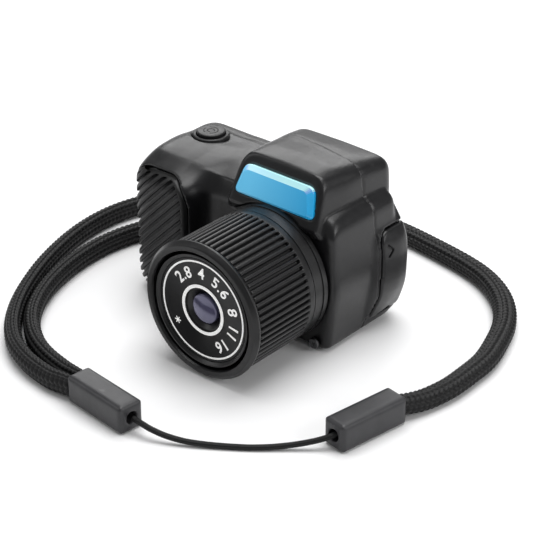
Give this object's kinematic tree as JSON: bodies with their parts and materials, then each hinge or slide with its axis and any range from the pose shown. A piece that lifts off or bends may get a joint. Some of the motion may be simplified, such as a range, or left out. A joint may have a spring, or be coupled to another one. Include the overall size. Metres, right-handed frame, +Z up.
{
  "type": "subminiature digital camera",
  "caption": "Subminiature digital camera shaped like a small single-lens reflex, with a turning lens ring, hinged port cover and a braided wrist strap.",
  "frame": {"origin": "on the base under the lens axis, at the middle of the body's depth", "axes": "+Z up, -Y the way the lens faces, +X towards the port cover"},
  "size_m": [0.0987, 0.0942, 0.0363],
  "materials": {
    "shell_plastic": "satin moulded black plastic with a fine grain",
    "grip_rubber": "soft black rubber with slanting ribs",
    "blue_window": "glossy sky-blue translucent plastic",
    "led_cream": "yellow-white lamp package",
    "board_green": "green lacquered circuit board",
    "lens_black": "satin black plastic",
    "ring_white": "white enamel",
    "lens_glass": "coated glass with a violet tint",
    "chip_black": "black moulded epoxy",
    "ribbon_amber": "amber flexible circuit",
    "button_plastic": "satin black plastic",
    "bright_metal": "bright pressed metal",
    "foil": "silver laminated foil",
    "foam_black": "black foam",
    "screen_black": "gloss black window",
    "screw_black": "blackened steel",
    "braid_black": "braided black polyester",
    "string_black": "thin waxed black string",
    "clip_plastic": "dark grey satin plastic"
  },
  "bodies": {
    "camera": {"front_shell": "shell_plastic", "rear_shell": "shell_plastic", "grip_pad": "grip_rubber", "flash_window": "blue_window", "flash_led": "led_cream", "flash_board": "board_green", "lens_flange": "lens_black", "lens_tube": "lens_black", "dial_plate": "lens_black", "dial_inner_ring": "ring_white", "lens_cell": "lens_black", "front_lens": "lens_glass", "rear_lens": "lens_glass", "lens_holder": "lens_black", "ir_filter": "lens_glass", "image_sensor": "chip_black", "sensor_board": "board_green", "sensor_ribbon": "ribbon_amber", "shutter_collar": "button_plastic", "shutter_switch": "bright_metal", "switch_board": "board_green", "main_board": "board_green", "board_chips": "chip_black", "microphone": "bright_metal", "battery": "foil", "battery_pad": "foam_black", "screen_window": "screen_black", "screen_module": "bright_metal", "screen_ribbon": "ribbon_amber", "key_board": "board_green", "eyepiece_frame": "lens_black", "eyepiece_glass": "lens_glass", "cover_pin": "bright_metal", "usb_socket": "bright_metal", "card_socket": "bright_metal", "front_screws": "screw_black", "case_screws": "screw_black", "strap_lug": "shell_plastic", "strap_cord_long": "braid_black", "strap_cord_short": "braid_black", "clip_left": "clip_plastic", "clip_right": "clip_plastic", "clip_string": "string_black"},
    "focus": {"focus_ring": "lens_black", "front_bezel": "lens_black"},
    "shutter": {"shutter_button": "button_plastic"},
    "menu_key": {"key_menu": "button_plastic"},
    "play_key": {"key_play": "button_plastic"},
    "up_key": {"key_up": "button_plastic"},
    "down_key": {"key_down": "button_plastic"},
    "cover": {"port_cover": "shell_plastic"},
    "card": {"memory_card": "chip_black"}
  },
  "joints": [
    {"name": "focus_turn", "type": "hinge", "parent": "camera", "child": "focus", "pos_m": [0, -0.02, 0.0141], "axis": [0, 1, 0], "range_deg": [-60, 60]},
    {"name": "shutter_press", "type": "slide", "parent": "camera", "child": "shutter", "axis": [0, 0, -1], "range_m": [0, 0.0005], "stiffness_N_per_m": 600},
    {"name": "menu_press", "type": "slide", "parent": "camera", "child": "menu_key", "axis": [0, -1, 0], "range_m": [0, 0.0004], "stiffness_N_per_m": 500},
    {"name": "play_press", "type": "slide", "parent": "camera", "child": "play_key", "axis": [0, -1, 0], "range_m": [0, 0.0004], "stiffness_N_per_m": 500},
    {"name": "up_press", "type": "slide", "parent": "camera", "child": "up_key", "axis": [0, -1, 0], "range_m": [0, 0.0004], "stiffness_N_per_m": 500},
    {"name": "down_press", "type": "slide", "parent": "camera", "child": "down_key", "axis": [0, -1, 0], "range_m": [0, 0.0004], "stiffness_N_per_m": 500},
    {"name": "cover_swing", "type": "hinge", "parent": "camera", "child": "cover", "pos_m": [0.014, 0.01365, 0.0114], "axis": [0, 0, 1], "range_deg": [0, 105]},
    {"name": "card_push", "type": "slide", "parent": "camera", "child": "card", "axis": [-1, 0, 0], "range_m": [0, 0.0005], "stiffness_N_per_m": 500}
  ]
}
